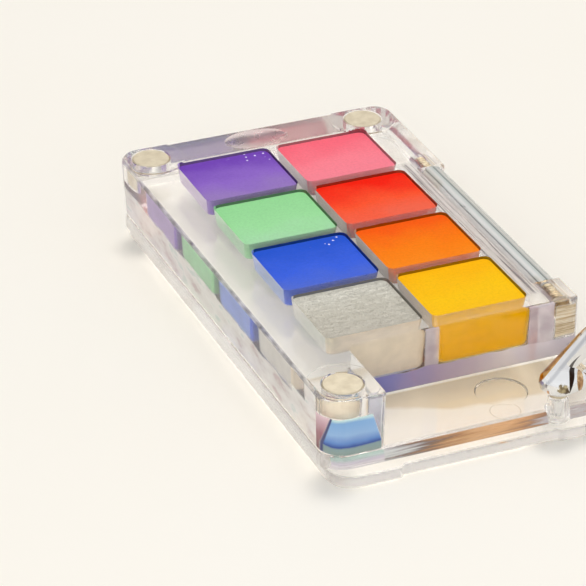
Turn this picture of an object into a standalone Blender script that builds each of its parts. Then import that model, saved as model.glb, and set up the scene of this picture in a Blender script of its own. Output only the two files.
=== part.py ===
"""Clear acrylic pocket watercolour palette: a hinged pan tray over a mixing plate, with a swivel snap hook.

Units are metres, +Z is up, +Y points to the back of the palette and +X to its hinged side.
The origin lies on the underside of the base plate, below the middle of the tray.
"""

import math

import bmesh
import bpy
from mathutils import Matrix, Vector

# ---------------------------------------------------------------- driving dimensions

# paint wells, two columns of four
COLUMNS = 2
ROWS = 4
WELL_LENGTH = 0.0205        # along X
WELL_WIDTH = 0.0179         # along Y
WELL_DEPTH = 0.0104
WELL_DRAFT = 0.0006         # a well's walls lean in by this much at its foot
WELL_CORNER = 0.0014
WELL_FOOT_ROUND = 0.0014    # between a well's walls and its floor
COLUMN_RIB = 0.0018
ROW_RIB = 0.0021

# paint cast into the wells
PAINT_SHRINKAGE = 0.0002    # air gap between a dried cake and its well, all round
PAINT_RECESS = 0.0005       # from the tray's top face down to the paint's edge
PAINT_DISH = 0.00035        # the middle of a cake lies this much lower than its edge
PAINT_MENISCUS = ((0.0, 0.0), (0.0004, 0.35), (0.0012, 0.7), (0.0030, 1.0))  # distance in, share of the dish

# tray
LEFT_RAIL = 0.0097
RIGHT_RAIL = 0.0091
BACK_RAIL = 0.0094
FRONT_WALL = 0.0039
TRAY_HEIGHT = 0.0124
TRAY_DRAFT = 0.0006         # the outer faces lean in by this much at the bottom
TRAY_CORNER = 0.0042
TRAY_FRONT_CORNER = 0.0014  # upright corner at the front of the hinge rail
EDGE_ROUND = 0.0006
ARM_WIDTH = 0.0125          # the arm that carries the front magnet
ARM_LENGTH = 0.0182         # from the tray's front wall to the arm's end
ARM_CORNER = 0.0050
ARM_INNER_CORNER = 0.0014

# magnets, set in raised corner bosses
MAGNET_RADIUS = 0.0040
MAGNET_HEIGHT = 0.0050
MAGNET_CHAMFER = 0.0003
MAGNET_FROM_SIDE = 0.0059   # tray's side face to a left magnet's centre
MAGNET_FROM_RIGHT = 0.0074  # tray's right face to the right magnet's centre
MAGNET_FROM_END = 0.0053    # tray's back face to the magnet's centre
ARM_MAGNET_FROM_END = 0.0059
BOSS_RADIUS = 0.0070
BOSS_RISE = 0.0003

# thumb scoop in the back rail
SCOOP_LENGTH = 0.0138
SCOOP_WIDTH = 0.0080
SCOOP_DEPTH = 0.0012
SCOOP_FROM_SIDE = 0.0298    # tray's left face to the scoop's centre
SCOOP_FROM_BACK = 0.0046

# base plate
PLATE_THICKNESS = 0.0024
PLATE_LEFT_INSET = 0.0011
PLATE_RIGHT_INSET = 0.0003
PLATE_BACK_INSET = 0.0011
PLATE_FRONT_LEDGE = 0.0027  # how far the plate reaches in front of the arm
PLATE_CORNER = 0.0050
GRIP_DEPTH = 0.0008         # long shallow finger grip in the plate's front edge
GRIP_FROM_CORNER = 0.0130
GRIP_END_ROUND = 0.0007
FLOOR_RISE = 0.0025         # the mixing floor stands this far above the plate's front ledge
FLOOR_FRONT_ROUND = 0.0016  # rounded front edge of the mixing floor
FLOOR_SIDE_ROUND = 0.0003   # its other edges
DIMPLE_RADIUS = 0.0052      # round water dimple in the mixing floor
DIMPLE_FLOOR_RADIUS = 0.0049
DIMPLE_DEPTH = 0.0003
DIMPLE_FROM_WALL = 0.0072   # tray's front wall to the dimple's centre
DIMPLE_FROM_ARM = 0.0290    # arm's inner face to the dimple's centre

# hinge
BARREL_RADIUS = 0.0030
BARREL_LENGTH = 0.0519
BARREL_FROM_BACK = 0.0307   # tray's back face to the barrel's back end
BORE_RADIUS = 0.0015
JOURNAL_RADIUS = 0.00135
JOURNAL_LENGTH = 0.0040
SCREW_RADIUS = 0.0021
SCREW_LENGTH = 0.0056
THREAD_PITCH = 0.00065
THREAD_DEPTH = 0.00022
THREAD_LEAD_IN = 0.1        # share of a pitch before the first thread

# snap hook on its clear post, in front
POST_RADIUS = 0.0022
POST_HEIGHT = 0.0050
POST_FROM_ARM = 0.0362      # arm's inner face to the post's axis
POST_FROM_EDGE = 0.0043     # plate's front edge to the post's axis
POST_TAPER = 0.0002
POST_CHAMFER = 0.0003
PIVOT_RADIUS = 0.0011
PIVOT_DEPTH = 0.0040        # how deep the pivot sits in the post
PIVOT_CHAMFER = 0.0002
EYE_ROOF = 0.0008           # metal over the pivot in the hook's nose
WASHER_RADIUS = 0.0019
WASHER_THICKNESS = 0.0007
HOOK_THICKNESS = 0.0034
HOOK_ANGLE = math.radians(26.5)
HOOK_NOSE_RADIUS = 0.0038
HOOK_BOW_RADIUS = 0.0075
HOOK_LENGTH = 0.0185        # nose centre to bow centre
HOOK_BAND = 0.0036          # width of the bow's metal
HOOK_NOSE_WEB = 0.0034      # metal between the pivot's axis and the loop
LOOP_NOSE_RADIUS = 0.0014
HOOK_EDGE_ROUND = 0.0015
MOUTH_GAP = 0.0007          # between the nose and the gate's tip
GATE_WIDTH = 0.0026
GATE_THICKNESS = 0.0024
GATE_TONGUE = 0.0012
GATE_CORNER = 0.0005
GATE_INSET = 0.0002         # gate's outer face to the hook's outline
NOSE_GAP = 0.0009           # along the flank, from the nose's middle line to the gate's tip
GATE_PIN_RADIUS = 0.0007
GATE_PIN_SINK = 0.0004      # from the hook's top and bottom faces to the pin's ends
SLOT_HEIGHT = 0.0026
SPRING_WIRE = 0.0003        # width of the hairpin spring's wire
SPRING_OPENING = math.radians(35.0)  # half the opening between the hairpin's ends

# fits
SEAT = 0.0003               # clearance between pieces that lie on each other
PIN_FIT = 0.00015           # clearance round a pin or a magnet
HEEL_CLEARANCE = 0.0002     # between the mixing floor and the tray's heel as it swings past
OVERRUN = 0.0003            # how far a cutting tool runs past the faces it cuts

# smoothness
ROUND_SEGMENTS = 40
PIN_SEGMENTS = 24
HOLE_SEGMENTS = 24
CORNER_SEGMENTS = 6
WELL_SEGMENTS = 4
EDGE_SEGMENTS = 3
SMOOTH_ANGLE = math.radians(31.0)  # edges that turn by more than this stay sharp

# ---------------------------------------------------------------- derived places

WELL_PITCH_X = WELL_LENGTH + COLUMN_RIB
WELL_PITCH_Y = WELL_WIDTH + ROW_RIB
TRAY_WIDTH = LEFT_RAIL + COLUMNS * WELL_PITCH_X - COLUMN_RIB + RIGHT_RAIL
SLAB_LENGTH = BACK_RAIL + ROWS * WELL_PITCH_Y - ROW_RIB + FRONT_WALL
TRAY_LENGTH = SLAB_LENGTH + ARM_LENGTH
PLATE_LENGTH = TRAY_LENGTH - PLATE_BACK_INSET + PLATE_FRONT_LEDGE

LEFT = -TRAY_WIDTH / 2
RIGHT = TRAY_WIDTH / 2
BACK = PLATE_LENGTH / 2 + PLATE_BACK_INSET
SLAB_FRONT = BACK - SLAB_LENGTH
ARM_FRONT = BACK - TRAY_LENGTH
ARM_RIGHT = LEFT + ARM_WIDTH
PLATE_FRONT = -PLATE_LENGTH / 2

PLATE_TOP = PLATE_THICKNESS
FLOOR_TOP = PLATE_TOP + FLOOR_RISE
FLOOR_FRONT = ARM_FRONT + TRAY_DRAFT
TRAY_BOTTOM = FLOOR_TOP + SEAT
TRAY_TOP = TRAY_BOTTOM + TRAY_HEIGHT
BOSS_TOP = TRAY_TOP + BOSS_RISE

HINGE_X = RIGHT - BARREL_RADIUS
HINGE_Z = TRAY_TOP - BARREL_RADIUS
BARREL_BACK = BACK - BARREL_FROM_BACK
BARREL_FRONT = BARREL_BACK - BARREL_LENGTH

POST_X = ARM_RIGHT + POST_FROM_ARM
POST_Y = PLATE_FRONT + POST_FROM_EDGE
POST_BOTTOM = PLATE_TOP + SEAT
POST_TOP = POST_BOTTOM + POST_HEIGHT
WASHER_BOTTOM = POST_TOP + SEAT
HOOK_BOTTOM = WASHER_BOTTOM + WASHER_THICKNESS + SEAT
HOOK_TOP = HOOK_BOTTOM + HOOK_THICKNESS
HOOK_MIDDLE = (HOOK_BOTTOM + HOOK_TOP) / 2
HOOK_FLANK = math.asin((HOOK_BOW_RADIUS - HOOK_NOSE_RADIUS) / HOOK_LENGTH)  # flank's slope to the centre line
GATE_TIP = HOOK_NOSE_RADIUS + NOSE_GAP
GATE_PIVOT = HOOK_LENGTH - SEAT             # along the flank, the gate's pin
MOUTH_END = GATE_PIVOT - GATE_WIDTH / 2 - SEAT
TONGUE_BOTTOM = HOOK_MIDDLE - SLOT_HEIGHT / 2 + SEAT
TONGUE_TOP = TONGUE_BOTTOM + GATE_TONGUE

PAINTS = (
    ("purple", (0.17, 0.06, 0.48)), ("mint", (0.32, 0.72, 0.36)),
    ("blue", (0.01, 0.06, 0.65)), ("silver", (0.55, 0.55, 0.50)),
    ("pink", (0.95, 0.12, 0.22)), ("red", (0.90, 0.03, 0.01)),
    ("orange", (0.95, 0.18, 0.01)), ("yellow", (0.98, 0.55, 0.01)),
)

MAGNETS = {
    "back_left": (LEFT + MAGNET_FROM_SIDE, BACK - MAGNET_FROM_END),
    "back_right": (RIGHT - MAGNET_FROM_RIGHT, BACK - MAGNET_FROM_END),
    "front_left": (LEFT + MAGNET_FROM_SIDE, ARM_FRONT + ARM_MAGNET_FROM_END),
}


# ---------------------------------------------------------------- scene and materials

def clear_scene():
    for obj in list(bpy.data.objects):
        bpy.data.objects.remove(obj, do_unlink=True)


def principled(name, color, roughness, metallic=0.0, transmission=0.0):
    mat = bpy.data.materials.new(name)
    mat.use_nodes = True
    shader = mat.node_tree.nodes["Principled BSDF"]
    shader.inputs["Base Color"].default_value = (*color, 1.0)
    shader.inputs["Roughness"].default_value = roughness
    shader.inputs["Metallic"].default_value = metallic
    shader.inputs["Transmission Weight"].default_value = transmission
    shader.inputs["IOR"].default_value = 1.49
    return mat


def acrylic(name):
    return principled(name, (0.97, 0.98, 0.98), 0.03, transmission=1.0)


def metal(name, color, roughness):
    return principled(name, color, roughness, metallic=1.0)


# ---------------------------------------------------------------- outlines

def arc(cx, cy, radius, start, stop, segments):
    """Points on an arc, both ends included, angles in radians."""
    angles = [start + (stop - start) * i / segments for i in range(segments + 1)]
    return [(cx + radius * math.cos(a), cy + radius * math.sin(a)) for a in angles]


def circle(cx, cy, radius, segments=ROUND_SEGMENTS):
    return arc(cx, cy, radius, 0, math.tau, segments)[:-1]


def rounded(corners, segments=CORNER_SEGMENTS):
    """Outline through (x, y, radius) corners, each one replaced by an arc that touches both sides."""
    points = []
    for i, (x, y, radius) in enumerate(corners):
        here = Vector((x, y))
        before = Vector(corners[i - 1][:2]) - here
        after = Vector(corners[(i + 1) % len(corners)][:2]) - here
        half = before.angle(after) / 2
        centre = here + (before.normalized() + after.normalized()).normalized() * (radius / math.sin(half))
        reach = radius / math.tan(half)
        first = here + before.normalized() * reach - centre
        last = here + after.normalized() * reach - centre
        turn = math.atan2(first.x * last.y - first.y * last.x, first.dot(last))
        start = math.atan2(first.y, first.x)
        points += arc(centre.x, centre.y, radius, start, start + turn, segments)
    return points


def rounded_box(x0, y0, x1, y1, radius, segments=CORNER_SEGMENTS):
    return rounded([(x0, y0, radius), (x1, y0, radius), (x1, y1, radius), (x0, y1, radius)], segments)


# ---------------------------------------------------------------- solids

def finish(name, bm, mat=None):
    bmesh.ops.recalc_face_normals(bm, faces=bm.faces)
    mesh = bpy.data.meshes.new(name)
    bm.to_mesh(mesh)
    bm.free()
    mesh.shade_smooth()
    mesh.set_sharp_from_angle(angle=SMOOTH_ANGLE)
    obj = bpy.data.objects.new(name, mesh)
    bpy.context.collection.objects.link(obj)
    if mat:
        mesh.materials.append(mat)
    return obj


def loft(name, rings, mat=None):
    """Closed solid through rings of 3-D points; every ring has the same number of points."""
    bm = bmesh.new()
    loops = [[bm.verts.new(point) for point in ring] for ring in rings]
    count = len(loops[0])
    for low, high in zip(loops, loops[1:]):
        for i in range(count):
            j = (i + 1) % count
            bm.faces.new((low[i], low[j], high[j], high[i]))
    bm.faces.new(loops[0])
    bm.faces.new(loops[-1])
    return finish(name, bm, mat)


def prism(name, outline, z0, z1, mat=None):
    return loft(name, [[(x, y, z) for x, y in outline] for z in (z0, z1)], mat)


def turned(name, profile, centre, axis="Z", mat=None, segments=ROUND_SEGMENTS):
    """Solid of revolution from (radius, height) points, its axis along Z or Y through centre."""
    rings = []
    for radius, height in profile:
        ring = circle(0, 0, radius, segments)
        if axis == "Z":
            rings.append([(centre[0] + a, centre[1] + b, centre[2] + height) for a, b in ring])
        else:
            rings.append([(centre[0] + a, centre[1] + height, centre[2] + b) for a, b in ring])
    return loft(name, rings, mat)


def combine(target, tool, operation):
    """Boolean with a tool that is used up; the result is stored in the target's mesh."""
    modifier = target.modifiers.new(operation.lower(), "BOOLEAN")
    modifier.operation = operation
    modifier.object = tool
    modifier.solver = "EXACT"
    evaluated = target.evaluated_get(bpy.context.evaluated_depsgraph_get())
    mesh = bpy.data.meshes.new_from_object(evaluated)
    target.modifiers.clear()
    target.data = mesh
    bpy.data.objects.remove(tool, do_unlink=True)


def cut(target, tool):
    combine(target, tool, "DIFFERENCE")


def join(target, tool):
    combine(target, tool, "UNION")


def tidy_shading(obj):
    obj.data.shade_smooth()
    obj.data.set_sharp_from_angle(angle=SMOOTH_ANGLE)


# ---------------------------------------------------------------- tray

def tray_ring(z, inset, draft):
    """The tray's outline at one height: all sides pulled in by inset, the outer ones also by draft."""
    side = inset + draft
    left, right = LEFT + side, RIGHT - inset
    back, front = BACK - side, SLAB_FRONT + inset
    arm_front, arm_right = ARM_FRONT + side, ARM_RIGHT - inset
    corners = [
        (left, arm_front, ARM_CORNER - inset),
        (arm_right, arm_front, ARM_INNER_CORNER),
        (arm_right, front, ARM_INNER_CORNER),
        (right, front, TRAY_FRONT_CORNER - inset),
        (right, back, TRAY_CORNER - inset),
        (left, back, TRAY_CORNER - inset),
    ]
    return [(x, y, z) for x, y in rounded(corners)]


def edge_rings(z_edge, direction, radius, ring):
    """Rings that round an edge: direction +1 for an upper edge at z_edge, -1 for a lower one."""
    rings = []
    for i in range(EDGE_SEGMENTS + 1):
        angle = math.pi / 2 * i / EDGE_SEGMENTS
        inset = radius * (1 - math.cos(angle))
        z = z_edge - direction * radius * (1 - math.sin(angle))
        rings.append(ring(z, inset))
    return rings if direction > 0 else rings[::-1]


def tray_body():
    def ring(z, inset):
        share = (TRAY_TOP - z) / TRAY_HEIGHT
        return tray_ring(z, inset, TRAY_DRAFT * share)

    rings = edge_rings(TRAY_BOTTOM, -1, EDGE_ROUND, ring) + edge_rings(TRAY_TOP, 1, EDGE_ROUND, ring)
    return loft("pan_tray", rings, acrylic("tray_acrylic"))


def add_bosses(tray):
    """Corner bosses: the tray's own outline, kept only inside a circle round each magnet."""
    for name, (x, y) in MAGNETS.items():
        z_low = TRAY_TOP - EDGE_ROUND
        outline = [tray_ring(z, EDGE_ROUND, 0) for z in (z_low, BOSS_TOP)]
        boss = loft("boss_" + name, outline)
        within = prism("boss_round", circle(x, y, BOSS_RADIUS), z_low - OVERRUN, BOSS_TOP + OVERRUN)
        combine(boss, within, "INTERSECT")
        join(tray, boss)
        pocket_floor = BOSS_TOP - MAGNET_HEIGHT - SEAT
        cut(tray, prism("pocket", circle(x, y, MAGNET_RADIUS + PIN_FIT), pocket_floor, BOSS_TOP + OVERRUN))


def well_corner(column, row):
    """Left and front sides of a well; row 0 is at the back."""
    x = LEFT + LEFT_RAIL + column * WELL_PITCH_X
    y = BACK - BACK_RAIL - row * WELL_PITCH_Y - WELL_WIDTH
    return x, y


def well_ring(column, row, z, gap):
    """Outline of a well at height z, gap inside its walls."""
    x, y = well_corner(column, row)
    foot = TRAY_TOP - WELL_DEPTH
    inset = gap + WELL_DRAFT * (TRAY_TOP - z) / WELL_DEPTH
    rise = min(z - foot, WELL_FOOT_ROUND)
    inset += WELL_FOOT_ROUND - math.sqrt(WELL_FOOT_ROUND ** 2 - (WELL_FOOT_ROUND - rise) ** 2)
    right, back = x + WELL_LENGTH - inset, y + WELL_WIDTH - inset
    box = rounded_box(x + inset, y + inset, right, back, WELL_CORNER, WELL_SEGMENTS)
    return [(px, py, z) for px, py in box]


def well_foot_heights():
    """Heights of the rings that round a well's foot, from its floor up."""
    steps = [math.pi / 2 * i / EDGE_SEGMENTS for i in range(EDGE_SEGMENTS + 1)]
    return [TRAY_TOP - WELL_DEPTH + WELL_FOOT_ROUND * (1 - math.cos(angle)) for angle in steps]


def cut_wells(tray):
    for column in range(COLUMNS):
        for row in range(ROWS):
            heights = well_foot_heights() + [TRAY_TOP + OVERRUN]
            cut(tray, loft("well", [well_ring(column, row, z, 0) for z in heights]))


def cut_scoop(tray):
    """Ellipsoid dish: its waist is level with the tray's top face."""
    x = LEFT + SCOOP_FROM_SIDE
    y = BACK - SCOOP_FROM_BACK
    steps = ROUND_SEGMENTS // 4
    rings = []
    for i in range(1, 2 * steps):
        angle = math.pi * i / (2 * steps) - math.pi / 2
        width = math.cos(angle)
        z = TRAY_TOP + SCOOP_DEPTH * math.sin(angle)
        oval = circle(0, 0, width)
        rings.append([(x + a * SCOOP_LENGTH / 2, y + b * SCOOP_WIDTH / 2, z) for a, b in oval])
    cut(tray, loft("scoop", rings))


def cut_hinge_seat(tray):
    """Gap for the barrel in the right rail, and a blind bore for a pin at each end of it."""
    wall = HINGE_X - BARREL_RADIUS - SEAT
    y0, y1 = BARREL_FRONT - SEAT, BARREL_BACK + SEAT
    outside = RIGHT + OVERRUN
    gap = [(wall, y0), (outside, y0), (outside, y1), (wall, y1)]
    cut(tray, prism("gap", gap, TRAY_BOTTOM - OVERRUN, BOSS_TOP + OVERRUN))
    bore_depth = 2 * SEAT + SCREW_LENGTH + SEAT
    for y, direction in ((BARREL_BACK, 1), (BARREL_FRONT, -1)):
        reach = sorted((0, direction * bore_depth))
        profile = [(SCREW_RADIUS + PIN_FIT, height) for height in reach]
        cut(tray, turned("pin_bore", profile, (HINGE_X, y, HINGE_Z), "Y"))


def round_heel(tray):
    """Lower edge of the hinge rail, trimmed to an arc round the hinge so that it swings past the plate."""
    radius = HINGE_Z - FLOOR_TOP - HEEL_CLEARANCE
    outside = RIGHT + OVERRUN
    low = FLOOR_TOP - OVERRUN
    start = -math.acos((outside - HINGE_X) / radius)
    stop = -math.pi / 2
    outline = arc(HINGE_X, HINGE_Z, radius, start, stop, CORNER_SEGMENTS)
    outline += [(HINGE_X, low), (outside, low)]
    ends = (SLAB_FRONT - OVERRUN, BACK + OVERRUN)
    cut(tray, loft("heel", [[(x, y, z) for x, z in outline] for y in ends]))


def build_tray():
    tray = tray_body()
    add_bosses(tray)
    cut_wells(tray)
    cut_scoop(tray)
    round_heel(tray)
    cut_hinge_seat(tray)
    tidy_shading(tray)


def build_paint():
    """One cake in each well, its top dished as paint dries, its foot a seat's clearance above the floor."""
    rim = TRAY_TOP - PAINT_RECESS
    for index, (color_name, color) in enumerate(PAINTS):
        column, row = divmod(index, ROWS)
        rings = []
        for z in well_foot_heights():
            ring = well_ring(column, row, z, PAINT_SHRINKAGE)
            rings.append([(x, y, z + SEAT) for x, y, z in ring])
        for inset, share in PAINT_MENISCUS:
            ring = well_ring(column, row, rim, PAINT_SHRINKAGE + inset)
            rings.append([(x, y, z - PAINT_DISH * share) for x, y, z in ring])
        loft("paint_" + color_name, rings, principled("paint_" + color_name, color, 0.6))


def build_magnets():
    face = MAGNET_RADIUS - MAGNET_CHAMFER
    shoulder = MAGNET_HEIGHT - MAGNET_CHAMFER
    profile = ((face, 0), (MAGNET_RADIUS, MAGNET_CHAMFER), (MAGNET_RADIUS, shoulder), (face, MAGNET_HEIGHT))
    for name, (x, y) in MAGNETS.items():
        mat = metal("magnet_" + name, (0.75, 0.71, 0.62), 0.35)
        turned("magnet_" + name, profile, (x, y, BOSS_TOP - MAGNET_HEIGHT), "Z", mat)


# ---------------------------------------------------------------- base plate and hinge

def plate_ring(z, inset):
    left, right = LEFT + PLATE_LEFT_INSET + inset, RIGHT - PLATE_RIGHT_INSET - inset
    back, front = BACK - PLATE_BACK_INSET - inset, PLATE_FRONT + inset
    grip_left, grip_right = left + GRIP_FROM_CORNER, right - GRIP_FROM_CORNER
    corners = [
        (left, front, PLATE_CORNER - inset),
        (grip_left, front, GRIP_END_ROUND / 2),
        (grip_left + GRIP_DEPTH, front + GRIP_DEPTH, GRIP_END_ROUND / 2),
        (grip_right - GRIP_DEPTH, front + GRIP_DEPTH, GRIP_END_ROUND / 2),
        (grip_right, front, GRIP_END_ROUND / 2),
        (right, front, PLATE_CORNER - inset),
        (right, back, TRAY_CORNER - inset),
        (left, back, TRAY_CORNER - inset),
    ]
    return [(x, y, z) for x, y in rounded(corners)]


def floor_ring(z, inset):
    """Mixing floor's outline: the front is pulled in by inset, the other sides by their own smaller share."""
    side = TRAY_DRAFT + inset * FLOOR_SIDE_ROUND / FLOOR_FRONT_ROUND
    front = FLOOR_FRONT + inset
    corners = [
        (LEFT + side, front, ARM_CORNER - inset), (RIGHT - side, front, PLATE_CORNER - inset),
        (RIGHT - side, BACK - side, TRAY_CORNER - side), (LEFT + side, BACK - side, TRAY_CORNER - side),
    ]
    return [(x, y, z) for x, y in rounded(corners)]


def build_base():
    """Plate with the raised mixing floor on it in one moulding, notched for the post, dimpled for water."""
    rings = edge_rings(0, -1, EDGE_ROUND, plate_ring) + edge_rings(PLATE_TOP, 1, EDGE_ROUND, plate_ring)
    base = loft("base_plate", rings, acrylic("base_acrylic"))

    low = PLATE_TOP - OVERRUN
    floor_rings = [floor_ring(low, 0)] + edge_rings(FLOOR_TOP, 1, FLOOR_FRONT_ROUND, floor_ring)
    mixing_floor = loft("floor", floor_rings)
    notch = circle(POST_X, POST_Y, POST_RADIUS + SEAT)
    cut(mixing_floor, prism("notch", notch, low - OVERRUN, FLOOR_TOP + OVERRUN))
    join(base, mixing_floor)

    x = ARM_RIGHT + DIMPLE_FROM_ARM
    y = SLAB_FRONT - DIMPLE_FROM_WALL
    slope = (DIMPLE_RADIUS - DIMPLE_FLOOR_RADIUS) / DIMPLE_DEPTH
    profile = ((DIMPLE_FLOOR_RADIUS, -DIMPLE_DEPTH), (DIMPLE_RADIUS + slope * OVERRUN, OVERRUN))
    cut(base, turned("dimple", profile, (x, y, FLOOR_TOP)))
    tidy_shading(base)


def build_hinge():
    """Clear barrel on a web that stands on the mixing floor, bored from end to end."""
    foot = FLOOR_TOP + SEAT
    y0, y1 = BARREL_FRONT, BARREL_BACK
    outline = [(HINGE_X - BARREL_RADIUS, foot), (HINGE_X + BARREL_RADIUS, foot)]
    outline += arc(HINGE_X, HINGE_Z, BARREL_RADIUS, 0, math.pi, ROUND_SEGMENTS // 2)
    rings = [[(x, y, z) for x, z in outline] for y in (y0, y1)]
    barrel = loft("hinge_barrel", rings, acrylic("hinge_acrylic"))
    bore = [(BORE_RADIUS, -OVERRUN), (BORE_RADIUS, BARREL_LENGTH + OVERRUN)]
    cut(barrel, turned("bore", bore, (HINGE_X, y0, HINGE_Z), "Y"))
    tidy_shading(barrel)
    for name, y, direction in (("hinge_pin_back", BARREL_BACK, 1), ("hinge_pin_front", BARREL_FRONT, -1)):
        build_hinge_pin(name, y, direction)


def build_hinge_pin(name, y, direction):
    """Plain journal that turns in the barrel, and a threaded length held in the tray's rail."""
    start = 2 * SEAT
    root = SCREW_RADIUS - THREAD_DEPTH
    profile = [(JOURNAL_RADIUS - SEAT, -JOURNAL_LENGTH), (JOURNAL_RADIUS, SEAT - JOURNAL_LENGTH)]
    profile.append((JOURNAL_RADIUS, start))
    threads = int(SCREW_LENGTH / THREAD_PITCH)
    for i in range(threads):
        height = start + (i + THREAD_LEAD_IN) * THREAD_PITCH
        profile.append((root, height))
        profile.append((SCREW_RADIUS, height + THREAD_PITCH / 2))
    profile.append((root, start + threads * THREAD_PITCH))
    profile = [(radius, direction * height) for radius, height in profile]
    turned(name, profile, (HINGE_X, y, HINGE_Z), "Y", metal(name, (0.75, 0.52, 0.20), 0.3), PIN_SEGMENTS)


# ---------------------------------------------------------------- snap hook

def place_hook(obj):
    """Moves a piece from the hook's own frame, with its nose at the origin, onto the post."""
    obj.data.transform(Matrix.Translation((POST_X, POST_Y, 0)) @ Matrix.Rotation(HOOK_ANGLE, 4, "Z"))


def pear(inset, nose_x, nose_radius, segments=ROUND_SEGMENTS // 2):
    """Pear outline round a nose circle and the bow circle, pulled in by inset."""
    big = HOOK_BOW_RADIUS - inset
    slope = math.asin((big - nose_radius) / (HOOK_LENGTH - nose_x))
    side = math.pi / 2 + slope
    bow = arc(HOOK_LENGTH, 0, big, -side, side, segments)
    nose = arc(nose_x, 0, nose_radius, side, math.tau - side, segments)
    return bow + nose


def hook_point(along, inset):
    """Point on the gate's side of the hook, along its flank from the nose, inset from the outer edge."""
    direction = Vector((math.cos(HOOK_FLANK), -math.sin(HOOK_FLANK)))
    outward = Vector((-math.sin(HOOK_FLANK), -math.cos(HOOK_FLANK)))
    return outward * (HOOK_NOSE_RADIUS - inset) + direction * along


def flank_box(start, stop, near, far):
    """Corners of a box on the gate's flank: from start to stop along it, from near to far inwards."""
    corners = ((start, near), (stop, near), (stop, far), (start, far))
    return [tuple(hook_point(along, inset)) for along, inset in corners]


def hook_hole(name, centre, radius, low=HOOK_BOTTOM - OVERRUN, high=HOOK_TOP + OVERRUN):
    return prism(name, circle(*centre, radius, HOLE_SEGMENTS), low, high)


def build_hook(pivot):
    """Pear-shaped body with a straight mouth on one flank, forked at the bow for the gate's tongue."""
    def ring(z, inset):
        return [(x, y, z) for x, y in pear(inset, 0, HOOK_NOSE_RADIUS - inset)]

    rings = edge_rings(HOOK_BOTTOM, -1, HOOK_EDGE_ROUND, ring)
    rings += edge_rings(HOOK_TOP, 1, HOOK_EDGE_ROUND, ring)
    hook = loft("hook_body", rings, metal("hook_body", (0.85, 0.85, 0.86), 0.08))

    low, high = HOOK_BOTTOM - OVERRUN, HOOK_TOP + OVERRUN
    loop = pear(HOOK_BAND, HOOK_NOSE_WEB + LOOP_NOSE_RADIUS, LOOP_NOSE_RADIUS)
    cut(hook, prism("loop", loop, low, high))
    mouth = flank_box(GATE_TIP - MOUTH_GAP, MOUTH_END, -OVERRUN, HOOK_BAND + OVERRUN)
    cut(hook, prism("mouth", mouth, low, high))

    fork_end = GATE_PIVOT + GATE_WIDTH / 2 + 2 * SEAT
    fork = flank_box(MOUTH_END - SEAT, fork_end, -GATE_WIDTH / 2, HOOK_BAND + GATE_WIDTH / 2)
    cut(hook, prism("fork", fork, HOOK_MIDDLE - SLOT_HEIGHT / 2, HOOK_MIDDLE + SLOT_HEIGHT / 2))
    cut(hook, hook_hole("pin_hole", pivot, GATE_PIN_RADIUS + PIN_FIT))
    cut(hook, hook_hole("eye", (0, 0), PIVOT_RADIUS + PIN_FIT, high=HOOK_TOP - EYE_ROOF))
    tidy_shading(hook)
    place_hook(hook)


def build_gate(pivot):
    """Bar that closes the mouth, with a thin round-ended tongue in the fork."""
    bar = flank_box(GATE_TIP, MOUTH_END - 2 * SEAT, GATE_INSET, GATE_WIDTH)
    outline = rounded([(x, y, GATE_CORNER) for x, y in bar], EDGE_SEGMENTS)
    half = GATE_THICKNESS / 2
    chrome = metal("hook_gate", (0.85, 0.85, 0.86), 0.1)
    gate = prism("hook_gate", outline, HOOK_MIDDLE - half, HOOK_MIDDLE + half, chrome)

    turn = math.pi / 2
    radius = GATE_WIDTH / 2 - GATE_INSET
    head = arc(*pivot, radius, -turn - HOOK_FLANK, turn - HOOK_FLANK, 2 * CORNER_SEGMENTS)
    start = GATE_PIVOT - GATE_WIDTH
    near, far = GATE_INSET + GATE_CORNER, GATE_WIDTH - GATE_INSET - GATE_CORNER
    root = [hook_point(start, far), hook_point(start, near)]
    tongue = prism("tongue", head + [tuple(point) for point in root], TONGUE_BOTTOM, TONGUE_TOP)
    join(gate, tongue)
    cut(gate, hook_hole("gate_eye", pivot, GATE_PIN_RADIUS + PIN_FIT))
    tidy_shading(gate)
    place_hook(gate)


def build_gate_pin(pivot):
    bottom, top = HOOK_BOTTOM + GATE_PIN_SINK, HOOK_TOP - GATE_PIN_SINK
    mat = metal("gate_pin", (0.7, 0.7, 0.7), 0.2)
    place_hook(prism("gate_pin", circle(*pivot, GATE_PIN_RADIUS, PIN_SEGMENTS), bottom, top, mat))


def build_gate_spring(pivot):
    """Flat hairpin spring round the gate's pin, between the tongue and the upper fork."""
    inner = GATE_PIN_RADIUS + 2 * PIN_FIT
    outline = arc(*pivot, inner + SPRING_WIRE, SPRING_OPENING, math.tau - SPRING_OPENING, ROUND_SEGMENTS // 2)
    outline += arc(*pivot, inner, math.tau - SPRING_OPENING, SPRING_OPENING, ROUND_SEGMENTS // 2)
    bottom, top = TONGUE_TOP + PIN_FIT, HOOK_MIDDLE + SLOT_HEIGHT / 2 - PIN_FIT
    place_hook(prism("gate_spring", outline, bottom, top, metal("gate_spring", (0.6, 0.6, 0.6), 0.3)))


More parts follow.
